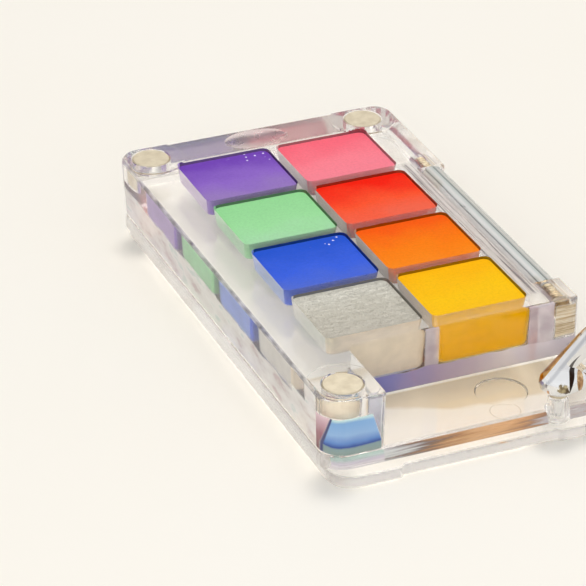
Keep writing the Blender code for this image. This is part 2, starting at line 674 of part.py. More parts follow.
def build_post():
    """Clear post on the plate, bored for the pin that the hook turns on, with a washer over it."""
    here = (POST_X, POST_Y)
    neck = POST_RADIUS - POST_TAPER
    profile = [(POST_RADIUS, 0), (neck, POST_HEIGHT - POST_CHAMFER), (neck - POST_CHAMFER, POST_HEIGHT)]
    post = turned("hook_post", profile, (*here, POST_BOTTOM), "Z", acrylic("post_acrylic"))
    hole = PIVOT_RADIUS + PIN_FIT
    bore = [(hole, -PIVOT_DEPTH - SEAT), (hole, OVERRUN)]
    cut(post, turned("post_bore", bore, (*here, POST_TOP), segments=HOLE_SEGMENTS))
    tidy_shading(post)

    washer_top = WASHER_BOTTOM + WASHER_THICKNESS
    brass = metal("hook_washer", (0.55, 0.40, 0.16), 0.3)
    washer = prism("hook_washer", circle(*here, WASHER_RADIUS), WASHER_BOTTOM, washer_top, brass)
    cut(washer, hook_hole("washer_hole", here, hole, WASHER_BOTTOM - OVERRUN, washer_top + OVERRUN))
    tidy_shading(washer)

    length = HOOK_TOP - EYE_ROOF - SEAT - POST_TOP + PIVOT_DEPTH
    end = PIVOT_RADIUS - PIVOT_CHAMFER
    profile = ((end, 0), (PIVOT_RADIUS, PIVOT_CHAMFER), (PIVOT_RADIUS, length - PIVOT_CHAMFER), (end, length))
    steel = metal("hook_pivot", (0.8, 0.8, 0.8), 0.15)
    turned("hook_pivot", profile, (*here, POST_TOP - PIVOT_DEPTH), "Z", steel, PIN_SEGMENTS)


# ---------------------------------------------------------------- assembly

clear_scene()
build_base()
build_hinge()
build_tray()
build_paint()
build_magnets()
build_post()
gate_pivot = tuple(hook_point(GATE_PIVOT, GATE_WIDTH / 2))
build_hook(gate_pivot)
build_gate(gate_pivot)
build_gate_pin(gate_pivot)
build_gate_spring(gate_pivot)
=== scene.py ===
import math

import bpy
from mathutils import Matrix, Vector


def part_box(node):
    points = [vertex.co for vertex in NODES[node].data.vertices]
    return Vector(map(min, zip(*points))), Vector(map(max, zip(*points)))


# Looks, floor, light and camera of the clear watercolour pan set. The frame's own shapes are all kept: this
# script gives them materials, and weighted normals where they are clear. Lengths are in metres, and places
# come from the frame's boxes.

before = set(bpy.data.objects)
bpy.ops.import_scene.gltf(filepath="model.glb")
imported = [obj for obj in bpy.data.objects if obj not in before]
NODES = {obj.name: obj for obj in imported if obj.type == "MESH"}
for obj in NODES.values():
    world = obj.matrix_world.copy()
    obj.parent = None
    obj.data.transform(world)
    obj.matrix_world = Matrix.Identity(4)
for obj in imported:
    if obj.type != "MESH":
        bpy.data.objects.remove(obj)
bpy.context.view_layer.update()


# ---------------------------------------------------------------- places, from the frame

def middle(node):
    """Middle of a CAD node's box."""
    low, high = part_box(node)
    return (low + high) / 2


BOSS_RISE = 0.0003          # the magnets' bosses stand this much above the slab's top
ARM_WIDTH = 0.0125
WELL_LENGTH = 0.0205        # along x, at the well's mouth
WELL_WIDTH = 0.0179         # along y
WELL_REACH = 0.0006         # from a cake's box to the faces of its well
FRONT_WALL = 0.0039         # from the front wells to the slab's front
FLOOR_SETBACK = 0.0033      # from the plate's front edge to the mixing floor's
FLOOR_RISE = 0.0025         # from the plate's ledge to the mixing floor's top
SCOOP_FROM_SIDE = 0.0298    # from the slab's left side to the scoop's middle
SCOOP_FROM_BACK = 0.0091    # from the slab's back to the scoop's front edge

TRAY_LOW, TRAY_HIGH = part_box("pan_tray")
PLATE_LOW, PLATE_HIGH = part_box("base_plate")
BARREL_LOW, BARREL_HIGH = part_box("hinge_barrel")
PIN_LOW, PIN_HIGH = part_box("hinge_pin_front")
MAGNET_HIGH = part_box("magnet_front_left")[1]
YELLOW = middle("paint_yellow")
HINGE = middle("hinge_pin_front")
ARM_MAGNET = middle("magnet_front_left")
POST = middle("hook_post")
MAGNET_RADIUS = MAGNET_HIGH.x - ARM_MAGNET.x
TRAY_TOP = TRAY_HIGH.z - BOSS_RISE
LEFT = -TRAY_HIGH.x         # the slab is centred on x = 0
ARM_SIDE = LEFT + ARM_WIDTH
SLAB_FRONT = YELLOW.y - WELL_WIDTH / 2 - FRONT_WALL
FLOOR_FRONT = PLATE_LOW.y + FLOOR_SETBACK
LEDGE_TOP = PLATE_HIGH.z - FLOOR_RISE
SCOOP_MIDDLE = LEFT + SCOOP_FROM_SIDE
SCOOP_FRONT = TRAY_HIGH.y - SCOOP_FROM_BACK


# ---------------------------------------------------------------- colours

def rgb(r, g, b):
    """Linear colour from sRGB steps of 0 to 255."""
    def linear(step):
        share = step / 255
        return share / 12.92 if share <= 0.04045 else ((share + 0.055) / 1.055) ** 2.4
    return (linear(r), linear(g), linear(b), 1.0)


def shade(color, factor):
    """A darker colour, by the same factor in each channel."""
    return tuple(channel * factor for channel in color[:3]) + (1.0,)


def between(first, second, factor):
    """Mix of two colours."""
    return tuple(a + (b - a) * factor for a, b in zip(first, second))


NEAR_CLEAR = rgb(253, 252, 251)
WARM_CLEAR = (0.995, 0.99, 0.98, 1.0)
COOL_CLEAR = (0.99, 0.992, 0.99, 1.0)
LAMP_TINT = (0.985, 0.98, 0.97, 1.0)        # what clear acrylic leaves of a lamp's light
WHITE = (1.0, 1.0, 1.0, 1.0)
PALE_GREY = (0.9, 0.9, 0.9, 1.0)
BLACK = (0.0, 0.0, 0.0, 1.0)


# ---------------------------------------------------------------- node helpers

class Value:
    """A number that a node makes. Sums, products and so on of such numbers add Math nodes."""

    def __init__(self, nodes, socket):
        self.nodes = nodes
        self.socket = socket

    def __add__(self, other):
        return self.nodes.math("ADD", self, other)

    def __sub__(self, other):
        return self.nodes.math("SUBTRACT", self, other)

    def __rsub__(self, other):
        return self.nodes.math("SUBTRACT", other, self)

    def __mul__(self, other):
        return self.nodes.math("MULTIPLY", self, other)

    def __truediv__(self, other):
        return self.nodes.math("DIVIDE", self, other)

    def __abs__(self):
        return self.nodes.math("ABSOLUTE", self, 0.0)


class Nodes:
    """A node tree and short ways to add nodes to it."""

    def __init__(self, tree):
        self.tree = tree

    def add(self, kind, **values):
        node = self.tree.nodes.new(kind)
        for key, value in values.items():
            setattr(node, key, value)
        return node

    def link(self, source, target):
        """Links a socket or a Value to a socket, or writes a plain number or colour there."""
        if isinstance(source, (float, tuple)):
            target.default_value = source
        else:
            self.tree.links.new(getattr(source, "socket", source), target)

    def math(self, operation, first, second):
        node = self.add("ShaderNodeMath", operation=operation)
        self.link(first, node.inputs[0])
        self.link(second, node.inputs[1])
        return Value(self, node.outputs["Value"])

    def larger(self, first, second):
        return self.math("MAXIMUM", first, second)

    def smaller(self, first, second):
        return self.math("MINIMUM", first, second)

    def vector(self, operation, first, second=(0.0, 0.0, 0.0)):
        """Vector of an operation on two vectors, or on a vector and a number to scale it by."""
        node = self.add("ShaderNodeVectorMath", operation=operation)
        self.link(first, node.inputs[0])
        self.link(second, node.inputs["Scale" if operation == "SCALE" else 1])
        return node.outputs["Vector"]

    def axes(self, place):
        """The x, y and z of a place."""
        node = self.add("ShaderNodeSeparateXYZ")
        self.link(place, node.inputs["Vector"])
        return tuple(Value(self, node.outputs[axis]) for axis in "XYZ")

    def span(self, source, low, high, start=0.0, stop=1.0):
        """Runs from low to high while the source runs from start to stop."""
        node = self.add("ShaderNodeMapRange")
        for key, value in (("From Min", start), ("From Max", stop), ("To Min", low), ("To Max", high)):
            node.inputs[key].default_value = value
        self.link(source, node.inputs["Value"])
        return Value(self, node.outputs["Result"])

    def share(self, source, start, stop):
        """0 where the source is start and 1 where it is stop."""
        return self.span(source, 0.0, 1.0, start, stop)

    def vary(self, noise, low, high):
        """A noise, most of which lies from 0.3 to 0.7, turned into a number from low to high."""
        return self.span(noise, low, high, 0.3, 0.7)

    def wander(self, noise, amount):
        """A noise turned into a shift of up to the amount either way."""
        return self.vary(noise, -amount, amount)

    def step(self, source, edge, soft, ends):
        """Goes smoothly from one of the ends to the other round the edge."""
        node = self.add("ShaderNodeMapRange", interpolation_type="SMOOTHSTEP")
        values = (edge - soft, edge + soft, *ends)
        for key, value in zip(("From Min", "From Max", "To Min", "To Max"), values):
            node.inputs[key].default_value = value
        self.link(source, node.inputs["Value"])
        return Value(self, node.outputs["Result"])

    def above(self, source, edge, soft):
        """1 where the source lies above the edge."""
        return self.step(source, edge, soft, (0.0, 1.0))

    def below(self, source, edge, soft):
        """1 where the source lies below the edge."""
        return self.step(source, edge, soft, (1.0, 0.0))

    def band(self, source, low, high, soft):
        """1 where the source lies between low and high."""
        return self.above(source, low, soft) * self.below(source, high, soft)

    def oval(self, across, along, centre, half):
        """0 at the centre of an oval of that half width and half length, and 1 at its edge."""
        aside = (across - centre[0]) / half[0]
        ahead = (along - centre[1]) / half[1]
        return aside * aside + ahead * ahead

    def ramp(self, source, stops):
        """Colours that follow each other as the source runs from 0 to 1."""
        node = self.add("ShaderNodeValToRGB")
        elements = node.color_ramp.elements
        while len(elements) < len(stops):
            elements.new(0.5)
        for element, (at, color) in zip(elements, stops):
            element.position = at
            element.color = color
        self.link(source, node.inputs["Fac"])
        return node.outputs["Color"]

    def blend(self, factor, first, second, kind="MIX"):
        """The first colour where the factor is 0, the second where it is 1."""
        node = self.add("ShaderNodeMix", data_type="RGBA", blend_type=kind)
        for key, source in (("Factor", factor), ("A", first), ("B", second)):
            self.link(source, node.inputs[key])
        return node.outputs["Result"]

    def mix(self, factor, first, second):
        """The first shader where the factor is 0, the second where it is 1."""
        node = self.add("ShaderNodeMixShader")
        for key, source in ((0, factor), (1, first), (2, second)):
            self.link(source, node.inputs[key])
        return node.outputs["Shader"]


class Shading(Nodes):
    """A new material, its Principled shader and short ways to give it a look."""

    def __init__(self, name):
        self.mat = bpy.data.materials.new(name)
        self.mat.use_nodes = True
        super().__init__(self.mat.node_tree)
        self.shader = self.tree.nodes["Principled BSDF"]
        self.output = self.tree.nodes["Material Output"]
        self.place = self.add("ShaderNodeTexCoord").outputs["Object"]

    def look(self, **values):
        """Gives the shader's sockets plain numbers and colours, or links them to what nodes make."""
        for key, value in values.items():
            self.link(value, self.shader.inputs[key.replace("_", " ")])

    def noise(self, scale, detail=3.0, rough=0.5, stretch=None, distortion=0.0):
        node = self.add("ShaderNodeTexNoise")
        settings = {"Scale": scale, "Detail": detail, "Roughness": rough, "Distortion": distortion}
        for key, value in settings.items():
            node.inputs[key].default_value = value
        place = self.place
        if stretch:
            mapping = self.add("ShaderNodeMapping")
            mapping.inputs["Scale"].default_value = stretch
            self.link(place, mapping.inputs["Vector"])
            place = mapping.outputs["Vector"]
        self.link(place, node.inputs["Vector"])
        return Value(self, node.outputs["Fac"])

    def cells(self, scale):
        """Tiny random cells: outputs that give their colour and the distance from their points."""
        node = self.add("ShaderNodeTexVoronoi")
        node.inputs["Scale"].default_value = scale
        self.link(self.place, node.inputs["Vector"])
        return node.outputs

    def polish(self, low=0.10, high=0.17):
        """Roughness of a flat polished face, with faint marks of handling."""
        return self.span(self.noise(300.0, detail=5.0), low, high, 0.45, 0.8)

    def haze(self, low=0.1, high=0.17):
        """Roughness of a face that is a little cloudy."""
        return self.span(self.noise(300.0, detail=4.0), low, high)

    def bump(self, height, depth, base=None):
        """Relief of that depth in metres, laid on the base's normals."""
        node = self.add("ShaderNodeBump")
        node.inputs["Distance"].default_value = depth
        node.inputs["Strength"].default_value = 1.0
        self.link(height, node.inputs["Height"])
        if base:
            self.link(base, node.inputs["Normal"])
        return node.outputs["Normal"]


# ---------------------------------------------------------------- materials: acrylic

def acrylic(name, mirror=0.5):
    """A new material of cast acrylic. Its mirror is the level of its reflections."""
    s = Shading(name)
    s.look(IOR=1.49, Specular_IOR_Level=mirror)
    return s


def lamps_pass(s):
    """Lets the lamps' light through, as clear acrylic does, and gives the finished material."""
    at_lamp = s.add("ShaderNodeLightPath").outputs["Is Shadow Ray"]
    clear = s.add("ShaderNodeBsdfTransparent")
    clear.inputs["Color"].default_value = LAMP_TINT
    s.link(s.mix(at_lamp, s.shader.outputs["BSDF"], clear.outputs["BSDF"]), s.output.inputs["Surface"])
    return s.mat


def clear_acrylic(name):
    """Polished acrylic: clear, faintly warm in places, with a slightly uneven surface."""
    s = acrylic(name)
    s.look(Transmission_Weight=1.0,
           Base_Color=s.ramp(s.noise(40.0), [(0.3, WARM_CLEAR), (0.7, COOL_CLEAR)]),
           Roughness=s.polish(),
           Normal=s.bump(s.noise(90.0, detail=1.0), depth=0.00002))
    return lamps_pass(s)


def bonded_wall(name, color, clear, rim_shade=None):
    """Well face seen through the acrylic: paint clings to it unevenly and lets some light through.
    A rim colour, if given, is painted shade along the wall's top, where the wall shades the paint.
    """
    rim_shade_depth = 0.0010      # how far the painted rim shade reaches down the wall
    uneven = 0.08           # how much clearer or denser the paint is in places
    s = acrylic(name, mirror=0.1)
    cling = s.ramp(s.noise(500.0, detail=4.0, rough=0.6), [(0.3, shade(color, 0.9)), (0.65, color)])
    if rim_shade:
        height = s.axes(s.place)[2]
        cling = s.blend(s.below(height, TRAY_TOP - rim_shade_depth, soft=0.0003), rim_shade, cling)
    s.look(Base_Color=cling,
           Transmission_Weight=s.vary(s.noise(160.0, detail=2.0), clear - uneven, clear + uneven),
           Roughness=s.haze(0.12, 0.22))
    return lamps_pass(s)


def arm_window(name):
    """Front of the arm: a painted refraction of the wells' blue round its corner, over a painted pale green
    foot.
    """
    turn = math.radians(23.2)                   # the way that the middle of the blue looks
    shift = 0.0027                              # from the object's middle to the blue's, across that way
    low, high = TRAY_LOW.z - 0.0002, TRAY_LOW.z + 0.0098        # the blue's colours run between these
    foot, brim = TRAY_LOW.z + 0.0023, TRAY_LOW.z + 0.0087       # its width narrows between these
    foot_half, brim_half = 0.0056, 0.0038
    clear_above = TRAY_LOW.z + 0.0086
    clear = rgb(252, 251, 250)
    s = acrylic(name)
    x, y, z = s.axes(s.place)
    height = z + s.wander(s.noise(180.0, detail=3.0), 0.0003)
    level = s.share(height, low, high)
    # painted refraction of the wells' blue, greenish low down, with a dark edge and a reddish streak beside
    # it
    blue = s.ramp(level, [(0.0, rgb(156, 156, 176)), (0.06, rgb(138, 156, 152)), (0.2, rgb(130, 156, 158)),
                          (0.24, rgb(34, 66, 150)), (0.31, rgb(84, 128, 198)), (0.5, rgb(144, 182, 226)),
                          (0.78, rgb(130, 176, 224)), (0.86, rgb(196, 226, 226))])
    streak = s.ramp(level, [(0.1, rgb(112, 62, 70)), (0.45, rgb(160, 102, 112)),
                            (0.85, rgb(222, 190, 198))])

    across = x * math.cos(turn) - y * math.sin(turn)
    side = (across + shift) / s.span(z, foot_half, brim_half, foot, brim)       # -1 and 1 at its edges
    inside = s.band(side, -1.05, 1.0, soft=0.03)
    edge = s.band(side, -1.06, -0.94, soft=0.03)
    red = s.band(side, -9.0, -1.05, soft=0.04)
    under_brim = s.below(height, clear_above, soft=0.0001)

    color = s.blend(inside, clear, s.blend(edge, blue, rgb(60, 66, 112)))
    color = s.blend(red, color, streak)
    # where the painted refraction shows, the face lets less light through
    painted_share = s.larger(inside, red) * under_brim
    s.look(Base_Color=s.blend(under_brim, clear, color),
           Transmission_Weight=s.span(painted_share, 1.0, 0.16),
           Roughness=s.haze())
    return lamps_pass(s)


def floor_front(name):
    """Front edge of the mixing floor, with the drawn-out marks of its cut. Their brown, orange and white is
    a painted refraction of the wells; below the arm lies a painted pale lavender and green reflection.
    """
    s = acrylic(name)
    x, _, z = s.axes(s.place)
    streaks = s.noise(260.0, detail=6.0, rough=0.7, stretch=(0.16, 1.0, 6.0))
    along = s.share(x, ARM_SIDE - 0.0007, POST.x - 0.0007)
    # painted refraction, drawn out along the edge
    paint = s.ramp(along + s.wander(streaks, 0.3),
                   [(0.0, rgb(206, 208, 206)), (0.12, rgb(176, 172, 172)), (0.24, rgb(104, 82, 74)),
                    (0.36, rgb(176, 124, 78)), (0.55, rgb(226, 172, 118)), (0.72, rgb(206, 150, 100)),
                    (0.92, rgb(150, 108, 82)), (1.0, rgb(196, 188, 190))])
    # painted reflection at the foot, below the arm
    foot = s.ramp(s.share(z, LEDGE_TOP, PLATE_HIGH.z),
                  [(0.1, rgb(232, 226, 228)), (0.5, rgb(206, 198, 212)), (0.78, rgb(176, 198, 190))])
    under_arm = s.below(x, ARM_SIDE - 0.0002, soft=0.0002)
    s.look(Base_Color=s.blend(under_arm, paint, foot),
           Transmission_Weight=s.span(streaks, 0.2, 0.55, 0.35, 0.65),
           Roughness=s.vary(streaks, 0.1, 0.3),
           Normal=s.bump(streaks, depth=0.00012))
    return lamps_pass(s)


def mixing_floor(name):
    """Top of the mixing floor: clear, with a painted pale brown shadow of the slab near the wells, painted
    shade along the dimple's edge and a painted shadow of that ring in front of it.
    """
    dimple = (ARM_SIDE + 0.0290, SLAB_FRONT - 0.0072)
    dimple_shadow = (dimple[0] - 0.0024, dimple[1] - 0.0066)
    dimple_radius, dimple_shadow_radius = 0.0052, 0.0030
    slant, slant_end = 0.3, 0.001           # the painted shadow's edge slants on the left, up to this x
    s = acrylic(name)
    x, y, _ = s.axes(s.place)
    depth = y + s.smaller(x, slant_end) * slant + s.wander(s.noise(60.0, detail=4.0), 0.0014)
    # painted shadow of the slab, its edge bent by noise
    painted_slab_shadow = s.ramp(s.share(depth, FLOOR_FRONT, SLAB_FRONT),
                   [(0.0, rgb(240, 234, 232)), (0.44, rgb(238, 232, 226)), (0.52, rgb(210, 190, 158)),
                    (1.0, rgb(196, 176, 144))])
    painted_slab_shadow = s.blend(s.below(y, SLAB_FRONT + 0.0001, soft=0.0004), NEAR_CLEAR, painted_slab_shadow)
    dimple_ring = s.oval(x, y, dimple, (dimple_radius, dimple_radius))
    dimple_shadow_ring = s.oval(x, y, dimple_shadow, (dimple_shadow_radius, dimple_shadow_radius))
    # painted shade along the dimple's edge, and the ring's painted shadow
    painted_slab_shadow = s.blend(s.band(dimple_ring, 0.92, 1.0, soft=0.02), painted_slab_shadow, rgb(158, 142, 118))
    painted_slab_shadow = s.blend(s.band(dimple_shadow_ring, 0.90, 1.0, soft=0.03), painted_slab_shadow, rgb(196, 184, 166))
    s.look(Transmission_Weight=1.0, Base_Color=painted_slab_shadow, Roughness=s.polish())
    return lamps_pass(s)


def tray_top(name):
    """Top of the slab: clear, with thin painted lines where the hinge shows through its rail, and soft
    painted shadows of the walls beside the left wells.
    """
    rail_left, rail_right = BARREL_LOW.x - 0.0041, BARREL_LOW.x + 0.0004
    rail_front, rail_back = BARREL_LOW.y - 0.0040, BARREL_HIGH.y + 0.0031
    wall_shadow_half = (0.0036, 0.0085)
    s = acrylic(name)
    x, y, _ = s.axes(s.place)
    tint = s.ramp(s.noise(300.0, detail=4.0, rough=0.6, stretch=(3.0, 0.05, 1.0)),
                  [(0.38, rgb(108, 100, 106)), (0.43, rgb(214, 208, 204)), (0.56, rgb(240, 236, 232)),
                   (0.6, rgb(158, 152, 156)), (0.64, rgb(230, 226, 223))])
    rail = s.band(x, rail_left, rail_right, soft=0.0003) * s.band(y, rail_front, rail_back, soft=0.0010)
    wall_shadows = 0.0
    for color in ("mint", "blue", "silver"):
        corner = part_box("paint_" + color)[0]
        wall_shadow = s.oval(x, y, (corner.x - 0.0006, corner.y + 0.0040), wall_shadow_half)
        wall_shadows = s.larger(wall_shadows, s.span(wall_shadow, 0.9, 0.0, 0.1, 1.2))
    s.look(Base_Color=s.blend(wall_shadows, s.blend(rail, NEAR_CLEAR, tint), rgb(206, 216, 208)),
           Transmission_Weight=s.span(rail, 1.0, 0.62),
           Roughness=s.polish())
    return lamps_pass(s)


def barrel_painted_lines(name):
    """Clear barrel with painted reflections along it: fine dark lines between silver-green and white, and
    dark patches.
    """
    s = acrylic(name)
    x, _, z = s.axes(s.place)
    turn = s.math("ARCTAN2", z - HINGE.z, x - HINGE.x)
    turn = turn + s.wander(s.noise(120.0, detail=4.0, stretch=(1.0, 0.2, 1.0)), 0.05)
    round_top = s.share(turn, 0.0, math.pi)
    lines = s.ramp(round_top,
                   [(0.20, rgb(96, 92, 104)), (0.235, rgb(226, 224, 222)), (0.30, rgb(232, 232, 230)),
                    (0.318, rgb(84, 80, 94)), (0.34, rgb(188, 202, 198)), (0.42, rgb(248, 248, 246)),
                    (0.47, rgb(184, 198, 192)), (0.488, rgb(80, 80, 92)), (0.51, rgb(214, 226, 222)),
                    (0.60, rgb(250, 250, 248)), (0.655, rgb(200, 208, 206)), (0.675, rgb(88, 84, 96)),
                    (0.70, rgb(232, 232, 230)), (0.82, rgb(226, 224, 222)), (0.84, rgb(110, 104, 112)),
                    (0.87, rgb(226, 224, 222))])
    # painted dark reflections in patches, also given a faint relief
    dark_reflections = s.share(s.noise(240.0, detail=4.0, rough=0.7, stretch=(1.0, 0.5, 1.0)), 0.64, 0.72)
    s.look(Base_Color=s.blend(dark_reflections, lines, rgb(96, 90, 98)),
           Transmission_Weight=s.span(round_top, 0.35, 0.5),
           Roughness=s.polish(0.08, 0.15),
           Normal=s.bump(dark_reflections, depth=0.00006))
    return lamps_pass(s)


def scoop_face(name):
    """Dished thumb scoop: softly polished, with a painted pink and violet reflection of the wells near it.
    """
    s = acrylic(name, mirror=0.3)
    s.look(Base_Color=s.ramp(s.noise(120.0), [(0.35, rgb(228, 206, 212)), (0.65, rgb(248, 236, 236))]),
           Transmission_Weight=s.vary(s.noise(200.0), 0.8, 0.95),
           Roughness=s.haze(0.22, 0.34))
    return lamps_pass(s)


def slab_front(name):
    """Front of the slab: a painted blue to lavender reflection in its foot, painted pale light over the
    divider and beside the yellow well, and a painted, magnified image of the brass threads at its right.
    """
    foot_top = TRAY_LOW.z + 0.0041
    well_left, well_right = YELLOW.x - WELL_LENGTH / 2, YELLOW.x + WELL_LENGTH / 2
    s = acrylic(name, mirror=0.2)
    x, _, z = s.axes(s.place)
    wander = s.wander(s.noise(120.0), 0.0004)
    height = z + wander
    # the foot: a painted blue to lavender reflection
    foot = s.below(height, foot_top, soft=0.0002)
    foot_color = s.ramp(s.share(x + wander * 4.0, ARM_SIDE - 0.0002, PLATE_HIGH.x),
                        [(0.0, rgb(116, 122, 204)), (0.2, rgb(150, 146, 208)), (0.38, rgb(192, 174, 202)),
                         (0.54, rgb(214, 198, 212)), (0.68, rgb(242, 234, 236)), (1.0, rgb(214, 204, 220))])

    # what lies behind the front shows to the left of its place, because the acrylic bends the light
    divider = s.band(x, well_left - 0.0034, well_left - 0.0005, soft=0.0003)
    window = s.band(x, well_left - 0.0004, well_right - 0.0019, soft=0.0002)
    beside = s.band(x, well_right - 0.0018, PIN_LOW.x - 0.0004, soft=0.0002)
    # painted pale light over the divider and the strip beside the yellow well
    painted_light = s.larger(divider, beside)
    painted_light_color = s.ramp(s.noise(300.0, detail=4.0),
                        [(0.35, rgb(214, 200, 208)), (0.65, rgb(242, 232, 236))])

    # painted image of the brass threads, magnified through the acrylic
    brass = s.band(x, PIN_LOW.x - 0.0001, PIN_HIGH.x + 0.0002, soft=0.0002)
    brass = brass * s.band(height, PIN_LOW.z - 0.0027, PIN_HIGH.z - 0.0002, soft=0.0003)
    brass_color = s.ramp(s.noise(420.0, detail=5.0, rough=0.7, stretch=(0.25, 1.0, 7.0)),
                         [(0.36, rgb(176, 150, 112)), (0.5, rgb(230, 212, 178)),
                          (0.62, rgb(252, 246, 230))])

    color = s.blend(painted_light, NEAR_CLEAR, painted_light_color)
    color = s.blend(window, color, rgb(255, 248, 150))
    color = s.blend(brass, color, brass_color)
    foot_cover, painted_light_cover, brass_cover = 0.66, 0.55, 0.8       # how much each painted colour covers what lies behind
    cover = s.larger(s.larger(foot * foot_cover, painted_light * painted_light_cover), brass * brass_cover)
    s.look(Base_Color=s.blend(foot, color, foot_color),
           Transmission_Weight=s.span(cover, 1.0, 0.0),
           Roughness=s.haze())
    return lamps_pass(s)


def left_face(name):
    """Left side of the tray: clear above, where the wells show, with painted pale and pinkish light in its
    foot.
    """
    foot_top = TRAY_LOW.z + 0.0066
    foot_top_near_arm = TRAY_LOW.z + 0.0080
    s = acrylic(name)
    _, y, z = s.axes(s.place)
    foot = s.below(z + s.wander(s.noise(140.0), 0.0005), foot_top, soft=0.0004)
    on_arm = s.below(y, MAGNET_HIGH.y + 0.0004, soft=0.0003)
    near_arm = s.below(y, SLAB_FRONT - 0.0014, soft=0.0010) * s.below(z, foot_top_near_arm, soft=0.0004)
    foot = s.larger(s.larger(foot, on_arm), near_arm)
    tint = s.ramp(s.noise(170.0, detail=4.0, rough=0.6, stretch=(1.0, 0.7, 2.0)),
                  [(0.33, rgb(216, 196, 193)), (0.43, rgb(238, 232, 226)), (0.58, rgb(250, 246, 240)),
                   (0.66, rgb(220, 228, 222))])
    s.look(Base_Color=s.blend(foot, NEAR_CLEAR, tint),
           Transmission_Weight=s.span(foot, 1.0, 0.3),
           Roughness=s.haze())
    return lamps_pass(s)


def painted_edge_line(name):
    """Rounded edge of the acrylic, with a painted grey line and painted highlight in patches along it."""
    s = acrylic(name)
    patches = s.noise(260.0, detail=4.0, rough=0.6)
    s.look(Base_Color=s.ramp(patches, [(0.4, rgb(160, 156, 157)), (0.6, rgb(236, 233, 230))]),
           Transmission_Weight=s.vary(s.noise(200.0), 0.45, 0.7),
           Roughness=s.haze())
    return lamps_pass(s)


# ---------------------------------------------------------------- materials: paint

def across_cake(s, centre):
    """0 at a cake's front and 1 at its back, a little bent by noise so that no edge runs straight."""
    y = s.axes(s.place)[1]
    along = s.share(y, centre.y - WELL_WIDTH / 2, centre.y + WELL_WIDTH / 2)
    return along + s.wander(s.noise(110.0), 0.14)


def sparkles(s, centre):
    """1 in the few tiny spots of painted glints near a glossy cake's back right corner."""
    heart_x = centre.x + WELL_LENGTH / 2 - 0.0016
    heart_y = centre.y + WELL_WIDTH / 2 - 0.0014
    reach = 0.0078
    flatten = 2.6           # the spots spread less along y than along x, by this factor
    x, y, _ = s.axes(s.place)
    cells = s.cells(900.0)
    spot = s.below(cells["Distance"], 0.2, soft=0.06)
    pick = s.add("ShaderNodeSeparateColor")
    s.link(cells["Color"], pick.inputs["Color"])
    some = s.above(pick.outputs["Red"], 0.25, soft=0.02)
    away = abs(heart_x - x) + abs(heart_y - y) * flatten
    return spot * some * s.below(away, reach, soft=0.0018)


def watercolour(name, centre, shades, shine, glints):
    """Dried paint: paler towards the front by a painted sheen, deep at the back, with pigment grain."""
    s = Shading(name)
    pigment = s.ramp(across_cake(s, centre), list(zip((0.05, 0.45, 0.92), shades)))
    speck = s.ramp(s.noise(1900.0, detail=4.0, rough=0.7), [(0.32, PALE_GREY), (0.6, WHITE)])
    color = s.blend(1.0, pigment, speck, "MULTIPLY")
    if glints:
        # painted glints: tiny pale spots in the base colour
        color = s.blend(sparkles(s, centre), color, rgb(236, 232, 255))
    grain = s.bump(s.noise(2600.0, detail=3.0, rough=0.6), depth=0.00003)
    ripples = s.noise(350.0, detail=2.0, stretch=(0.5, 1.4, 1.0))
    s.look(Base_Color=color,
           Roughness=s.span(s.noise(900.0, detail=4.0, rough=0.6), 0.42, 0.66),
           Normal=s.bump(ripples, depth=0.00003, base=grain),
           Specular_IOR_Level=shine)
    return s.mat


def glitter_paint(name, centre, shades):
    """Silver paint: fine mica in a soft grey ground, with the ripples that it dried in."""
    s = Shading(name)
    normal = s.add("ShaderNodeNewGeometry").outputs["Normal"]
    middle_grey = (0.5, 0.5, 0.5)
    most_tilt = 1.1
    tilt = s.vector("SUBTRACT", s.cells(4200.0)["Color"], middle_grey)
    flakes = s.vector("NORMALIZE", s.vector("ADD", normal, s.vector("SCALE", tilt, most_tilt)))
    ripples = s.noise(420.0, detail=5.0, rough=0.6, stretch=(1.0, 2.2, 1.0), distortion=0.9)
    s.look(Base_Color=s.ramp(across_cake(s, centre), list(zip((0.05, 0.5, 0.95), shades))),
           Roughness=s.span(s.noise(1500.0), 0.42, 0.6),
           Normal=s.bump(ripples, depth=0.0009, base=flakes),
           Metallic=0.45)
    return s.mat


# ---------------------------------------------------------------- materials: metal

def plating(s, color, dark, low, high, scale=500.0):
    """Gives a material plated metal's faint marks of handling, and returns its uneven colour."""
    s.look(Roughness=s.span(s.noise(scale * 1.7), low, high),
           Normal=s.bump(s.noise(scale * 0.8, detail=2.0), depth=0.00001))
    return s.ramp(s.noise(scale, detail=4.0), [(0.3, dark), (0.65, color)])


def plated(name, finish, metallic=1.0):
    """Plated metal; one that isn't fully metallic shows more of its plain colour."""
    s = Shading(name)
    s.look(Base_Color=plating(s, *finish), Metallic=metallic)
    return s.mat


def threaded_brass(name):
    """Brass pin with the fine dark lines of its thread."""
    s = Shading(name)
    threads = s.noise(500.0, detail=3.0, rough=0.6, stretch=(0.5, 5.0, 0.5))
    s.look(Base_Color=s.ramp(threads, [(0.38, rgb(140, 116, 76)), (0.5, rgb(214, 190, 144)),
                                       (0.62, rgb(250, 238, 206))]),
           Roughness=s.span(s.noise(700.0), 0.2, 0.36),
           Normal=s.bump(threads, depth=0.00012),
           Metallic=1.0)
    return s.mat


def dark_crescent(s, across, along):
    """1 inside the thin bent crescent of the loop's dark edge, as a painted reflection. Its measures are in
    mm.
    """
    start, bend, lean = 2.4, 0.22, 0.15     # place, bend and slant of its middle line
    half_length, half_width, shift = 3.5, 0.5, 0.1
    ahead = s.larger(along, 0.0)
    behind = s.smaller(along, 0.0)
    middle_line = ahead * ahead * bend + behind * lean + start
    level = (along + shift) / half_length
    reach = (1.0 - level * level) * half_width
    return s.above(reach - abs(across - middle_line), 0.0, soft=0.06)


